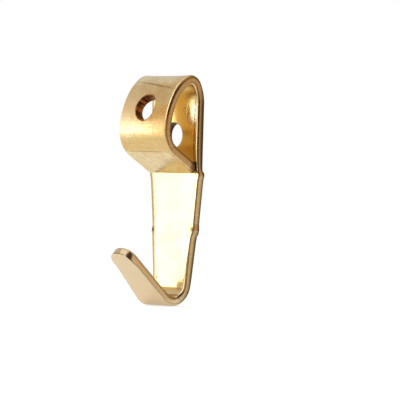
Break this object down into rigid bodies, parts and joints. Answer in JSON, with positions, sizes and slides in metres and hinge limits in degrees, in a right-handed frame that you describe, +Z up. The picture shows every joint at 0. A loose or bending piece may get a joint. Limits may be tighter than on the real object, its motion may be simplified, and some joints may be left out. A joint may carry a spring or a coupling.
{
  "type": "picture hook",
  "caption": "Brass-plated picture hook folded from tapered strip: closed nail eye at the top, flat shank against the wall, upturned open hook at the foot.",
  "frame": {"origin": "middle of the stamped pad's back face, where the hook bears on the wall", "axes": "+Z up along the shank, +Y into the wall, +X to the right as seen from the front"},
  "size_m": [0.01, 0.0131, 0.0347],
  "materials": {
    "brass_plating": "bright brass plating on mild steel"
  },
  "bodies": {
    "root": {"picture_hook": "brass_plating"}
  },
  "joints": []
}
